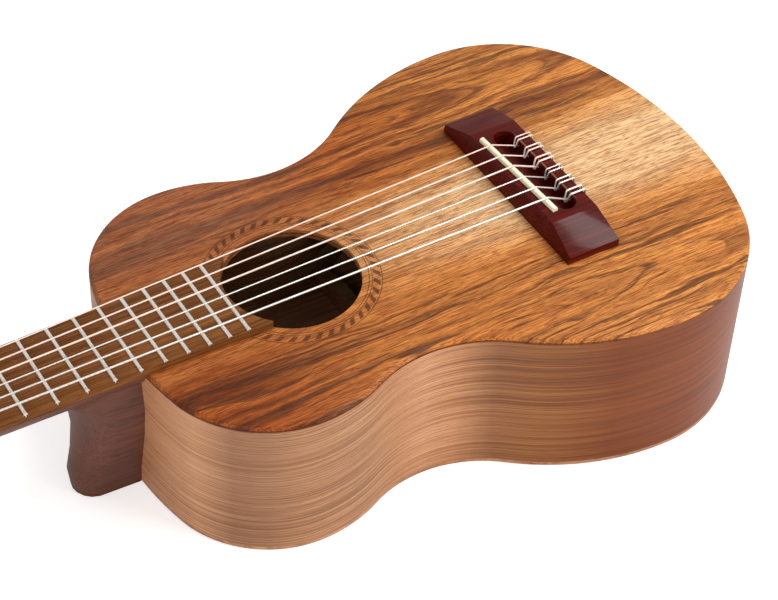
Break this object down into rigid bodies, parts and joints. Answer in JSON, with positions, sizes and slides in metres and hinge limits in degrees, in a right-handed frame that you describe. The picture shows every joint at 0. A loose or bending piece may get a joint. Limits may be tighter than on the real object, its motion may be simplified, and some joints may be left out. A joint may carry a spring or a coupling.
{
  "type": "guitalele",
  "caption": "Small acoustic guitar with a waisted flat-topped wooden body, round soundhole, tied-string bridge, heeled neck and a solid head with open geared tuning machines.",
  "frame": {"origin": "on the flat back, under the middle of the saddle", "axes": "+X from the head to the tail, +Y to the treble side, +Z out of the soundboard"},
  "size_m": [0.6801, 0.2268, 0.1015],
  "materials": {
    "top_wood": "satin",
    "side_wood": "satin",
    "inner_wood": "raw",
    "brace_wood": "raw",
    "neck_wood": "satin",
    "head_wood": "satin",
    "board_wood": "oiled",
    "bridge_wood": "satin",
    "inlay": "satin",
    "bone": "satin",
    "nickel": "polished",
    "steel": "brushed",
    "gear_brass": "satin",
    "knob_white": "gloss",
    "nylon": "clear",
    "wound": "wound"
  },
  "bodies": {
    "instrument": {"back_bars": "brace_wood", "back_lining_bass": "brace_wood", "back_lining_treble": "brace_wood", "back_plate": "side_wood", "back_strip": "inner_wood", "bridge": "bridge_wood", "bridge_plate": "inner_wood", "fretboard": "board_wood", "frets": "nickel", "head_veneer": "head_wood", "heel_cap": "neck_wood", "neck": "neck_wood", "neck_block": "inner_wood", "nut": "bone", "plate_screws": "nickel", "post_bushings": "nickel", "rib_bass": "side_wood", "rib_treble": "side_wood", "rosette_ring": "inlay", "saddle": "bone", "soundboard": "top_wood", "soundhole_patch": "inner_wood", "string_1": "nylon", "string_2": "nylon", "string_3": "nylon", "string_4": "wound", "string_5": "wound", "string_6": "wound", "tail_block": "inner_wood", "top_bracing": "brace_wood", "top_lining_bass": "brace_wood", "top_lining_treble": "brace_wood", "tuner_plate_bass": "nickel", "tuner_plate_treble": "nickel"},
    "worm_set_1": {"worm_1": "steel", "knob_1": "knob_white"},
    "post_set_1": {"post_1": "steel", "gear_1": "gear_brass"},
    "worm_set_2": {"worm_2": "steel", "knob_2": "knob_white"},
    "post_set_2": {"post_2": "steel", "gear_2": "gear_brass"},
    "worm_set_3": {"worm_3": "steel", "knob_3": "knob_white"},
    "post_set_3": {"post_3": "steel", "gear_3": "gear_brass"},
    "worm_set_4": {"worm_4": "steel", "knob_4": "knob_white"},
    "post_set_4": {"post_4": "steel", "gear_4": "gear_brass"},
    "worm_set_5": {"worm_5": "steel", "knob_5": "knob_white"},
    "post_set_5": {"post_5": "steel", "gear_5": "gear_brass"},
    "worm_set_6": {"worm_6": "steel", "knob_6": "knob_white"},
    "post_set_6": {"post_6": "steel", "gear_6": "gear_brass"}
  },
  "joints": [
    {"name": "knob_turn_1", "type": "hinge", "parent": "instrument", "child": "worm_set_1", "pos_m": [-0.46319, 0.019, 0.05465], "axis": [0, -1, 0], "continuous": true},
    {"name": "post_turn_1", "type": "hinge", "parent": "instrument", "child": "post_set_1", "pos_m": [-0.47388, 0.019, 0.07074], "axis": [-0.2332, 0, 0.9724], "continuous": true},
    {"name": "knob_turn_2", "type": "hinge", "parent": "instrument", "child": "worm_set_2", "pos_m": [-0.49723, 0.019, 0.04649], "axis": [0, -1, 0], "continuous": true},
    {"name": "post_turn_2", "type": "hinge", "parent": "instrument", "child": "post_set_2", "pos_m": [-0.50791, 0.019, 0.06257], "axis": [-0.2332, 0, 0.9724], "continuous": true},
    {"name": "knob_turn_3", "type": "hinge", "parent": "instrument", "child": "worm_set_3", "pos_m": [-0.53126, 0.019, 0.03833], "axis": [0, -1, 0], "continuous": true},
    {"name": "post_turn_3", "type": "hinge", "parent": "instrument", "child": "post_set_3", "pos_m": [-0.54195, 0.019, 0.05441], "axis": [-0.2332, 0, 0.9724], "continuous": true},
    {"name": "knob_turn_4", "type": "hinge", "parent": "instrument", "child": "worm_set_4", "pos_m": [-0.53126, -0.019, 0.03833], "axis": [0, -1, 0], "continuous": true},
    {"name": "post_turn_4", "type": "hinge", "parent": "instrument", "child": "post_set_4", "pos_m": [-0.54195, -0.019, 0.05441], "axis": [-0.2332, 0, 0.9724], "continuous": true},
    {"name": "knob_turn_5", "type": "hinge", "parent": "instrument", "child": "worm_set_5", "pos_m": [-0.49723, -0.019, 0.04649], "axis": [0, -1, 0], "continuous": true},
    {"name": "post_turn_5", "type": "hinge", "parent": "instrument", "child": "post_set_5", "pos_m": [-0.50791, -0.019, 0.06257], "axis": [-0.2332, 0, 0.9724], "continuous": true},
    {"name": "knob_turn_6", "type": "hinge", "parent": "instrument", "child": "worm_set_6", "pos_m": [-0.46319, -0.019, 0.05465], "axis": [0, -1, 0], "continuous": true},
    {"name": "post_turn_6", "type": "hinge", "parent": "instrument", "child": "post_set_6", "pos_m": [-0.47388, -0.019, 0.07074], "axis": [-0.2332, 0, 0.9724], "continuous": true}
  ],
  "couplings": [
    {"joint": "post_turn_1", "follows": "knob_turn_1", "ratio": 0.071429},
    {"joint": "post_turn_2", "follows": "knob_turn_2", "ratio": 0.071429},
    {"joint": "post_turn_3", "follows": "knob_turn_3", "ratio": 0.071429},
    {"joint": "post_turn_4", "follows": "knob_turn_4", "ratio": 0.071429},
    {"joint": "post_turn_5", "follows": "knob_turn_5", "ratio": 0.071429},
    {"joint": "post_turn_6", "follows": "knob_turn_6", "ratio": 0.071429}
  ]
}
